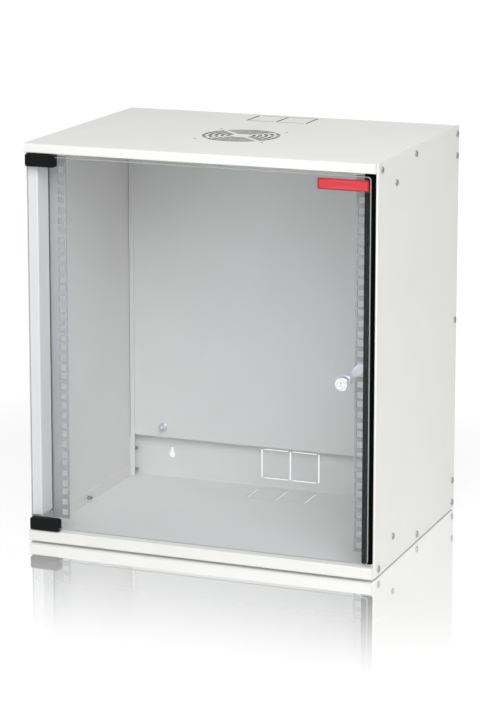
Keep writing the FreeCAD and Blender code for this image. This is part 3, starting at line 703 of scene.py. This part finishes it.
def fit_foam_strip():
    """The self-adhesive foam strip that the door closes on: a rounded oblong carried upwards,
    whose ends shrink with the cosine of an angle as it rises with its sine."""
    low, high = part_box("door_seal")
    turn = np.radians(np.linspace(0, 80, 5))
    inset = FOAM_END * (1 - np.cos(turn)) / (high.y - low.y) * 2
    start = list(zip(1 - inset[::-1], low.z + FOAM_END * (1 - np.sin(turn[::-1]))))
    stop = list(zip(1 - inset, high.z - FOAM_END * (1 - np.sin(turn))))
    rings = oblong_rings(high.x - low.x, high.y - low.y, FOAM_CORNER, start + stop)
    place = ((low.x + high.x) / 2, (low.y + high.y) / 2, 0)
    fit(skin("rounded_foam_strip", [stood(rings, place, FACING_UP)]),
        foam, "cabinet", "door_seal")


def fit_corner_hems():
    """Upright hems before the rear panel's two side edges, each a rounded oblong carried from
    the floor's sheet to the roof's. The gap beside a hem reads as a fine dark line."""
    low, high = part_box("rear_panel")
    rings = oblong_rings(HEM_WIDTH, HEM_DEPTH, HEM_CORNER, [
        (1.0, cad_box[0].z + SHEET), (1.0, cad_box[1].z - SHEET)])
    x, y = high.x - HEM_GAP - HEM_WIDTH / 2, low.y - HEM_DEPTH / 2
    tubes = [stood(rings, (side * x, y, 0), FACING_UP) for side in (-1, 1)]
    fit(skin("rear_corner_hems", tubes), case_paint, "cabinet")


def label_middle():
    """The middle of the label's back, on the glass, in the upper corner away from the hinges."""
    low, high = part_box("door_glass")
    return (high.x - LABEL_SIDE_GAP - LABEL_WIDTH / 2, low.y,
            high.z - LABEL_TOP_GAP - LABEL_HEIGHT / 2)


def fit_label():
    """A plain domed label on the glass, with nothing on it: a rounded oblong with an upright
    edge, whose face rises as one less the fourth power of the distance from its middle."""
    shares = np.array([1.0, 0.995, 0.98, 0.95, 0.9, 0.8, 0.6, 0.3, 0.05])
    profile = [(1.0, 0), *zip(shares, LABEL_EDGE + LABEL_DOME * (1 - shares ** 4))]
    rings = oblong_rings(LABEL_WIDTH, LABEL_HEIGHT, LABEL_CORNER, profile)
    fit(skin("plain_red_label", [stood(rings, label_middle(), FACING_FRONT)]), red_resin, "door")


def paint(material, *nodes):
    """Gives CAD nodes their finish."""
    for node in nodes:
        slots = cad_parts[node].data.materials
        slots.clear()
        slots.append(material)


case_paint = powder_coat("case_powder_coat", "#e8e8e5", "#e5e5e2", 3 * MM)
# The roof's coat paints its slot walls dark grey as shade.
roof_paint = powder_coat("roof_powder_coat", "#e8e8e5", "#e5e5e2", 3 * MM, painted_slot_shade="#4c4c4a")
rail_paint = powder_coat("rail_powder_coat", "#aeb1b1", "#a8abab", 3 * MM)
zinc = plated_metal("bright_zinc", "#e4e6e8", "#d4d6d8", 0.42, 4 * MM)
screw_zinc = plated_metal("screw_zinc", "#a2a5a9", "#8e9195", 0.30, 2 * MM)
chrome = plated_metal("nickel_chrome", "#f2f2f2", "#e8e8ea", 0.07, 6 * MM)
black_oxide = plated_metal("black_oxide", "#2a2a2c", "#1c1c1e", 0.4, 3 * MM)
clamp_paint = powder_coat("clamp_satin_black", "#0d0d10", "#09090b", 2 * MM, gloss=0.15)
nylon = moulded_plastic("black_nylon", "#202022", "#161617", 0.5)
rubber = moulded_plastic("black_rubber", "#191919", "#101010", 0.7)
foam = closed_cell_foam("black_foam")
glass = toughened_glass("toughened_glass")
# The label's last colour is its darker rim: painted shade for the dome's curved edge.
red_resin = domed_resin("red_label_resin", "#d23540", "#c42b35", "#930a12")

paint(roof_paint, "roof_pan")
paint(case_paint, "floor_pan", "left_side_panel", "right_side_panel", "rear_panel")
paint(rail_paint, "left_rack_rail", "right_rack_rail")
paint(screw_zinc, "left_panel_screws", "right_panel_screws", "rail_screws")
paint(zinc, "earth_stud", "earth_nut", "lock_nut", "lock_washer", "lock_cam", "cam_screw")
paint(nylon, "upper_hinge_bush", "lower_hinge_bush")
paint(foam, "door_seal")
paint(glass, "door_glass")
paint(clamp_paint, "upper_hinge_clamp", "lower_hinge_clamp")
paint(rubber, "upper_clamp_liner", "lower_clamp_liner", "lock_gasket")
paint(black_oxide, "upper_hinge_pin", "lower_hinge_pin", "clamp_screws")
paint(chrome, "lock_housing", "lock_plug")

for screws in ("left_panel_screws", "right_panel_screws", "rail_screws"):
    fit_pan_head_screws(screws)
fit_clamp_screws()
fit_lock()
fit_earth_stud()
fit_foam_strip()
fit_corner_hems()
fit_label()

make_floor()
make_world()
make_lamp("key_light", KEY_TURN, KEY_HEIGHT, KEY_DISTANCE, KEY_WIDTH, KEY_LIGHT)
make_lamp("side_light", SIDE_TURN, SIDE_HEIGHT, SIDE_DISTANCE, SIDE_WIDTH, SIDE_LIGHT)
make_camera()

bpy.context.scene.view_settings.view_transform = "Standard"
